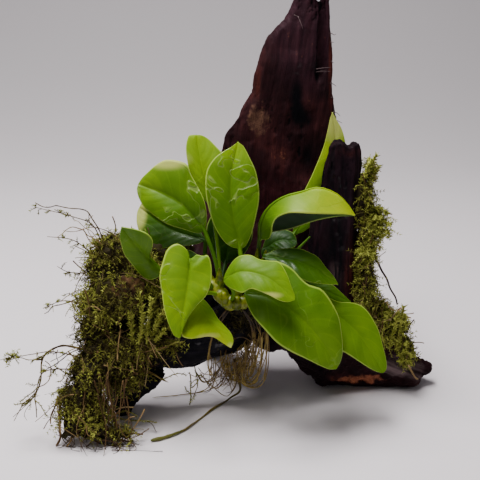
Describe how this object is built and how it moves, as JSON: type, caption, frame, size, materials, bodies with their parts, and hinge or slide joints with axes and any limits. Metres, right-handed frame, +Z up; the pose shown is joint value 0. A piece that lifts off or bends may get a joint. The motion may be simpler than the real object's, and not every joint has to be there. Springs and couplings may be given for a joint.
{
  "type": "anubias aquarium plant on driftwood with moss",
  "caption": "Upright branching driftwood with a broad-leaved anubias on a creeping green stem and mats of java moss, standing free on the wood's own feet.",
  "frame": {"origin": "middle of the footprint on the surface it stands on", "axes": "+Z up along the tall slab of wood, -Y towards the side that the leaves face, +X to the right foot"},
  "size_m": [0.2062, 0.1132, 0.207],
  "materials": {
    "wood": "wet, dark, grained",
    "rhizome": "smooth wet stem",
    "leaf": "waxy, wet, glossy",
    "root": "fleshy, half translucent",
    "moss": "fine wet fronds",
    "twig": "dark thin stem"
  },
  "bodies": {
    "root": {"driftwood_spike": "wood", "driftwood_stub": "wood", "driftwood_right_foot": "wood", "driftwood_left_arm": "wood", "driftwood_left_leg": "wood", "driftwood_back_root": "wood", "rhizome": "rhizome", "leaf_a": "leaf", "leaf_b": "leaf", "leaf_c": "leaf", "leaf_d": "leaf", "leaf_e": "leaf", "leaf_f": "leaf", "leaf_g": "leaf", "leaf_h": "leaf", "leaf_i": "leaf", "leaf_j": "leaf", "leaf_k": "leaf", "leaf_l": "leaf", "leaf_m": "leaf", "leaf_n": "leaf", "leaf_o": "leaf", "leaf_p": "leaf", "leaf_q": "leaf", "young_leaf": "leaf", "root_1": "root", "root_2": "root", "root_3": "root", "root_4": "root", "root_5": "root", "root_6": "root", "root_7": "root", "root_8": "root", "floor_root_1": "root", "floor_root_2": "root", "moss_left_crown": "moss", "moss_left_skirt": "moss", "moss_right": "moss", "moss_runner_1": "moss", "moss_runner_2": "moss", "moss_runner_3": "moss", "moss_runner_4": "moss", "moss_runner_5": "moss", "moss_runner_6": "moss", "moss_runner_7": "moss", "dark_twig": "twig"}
  },
  "joints": []
}
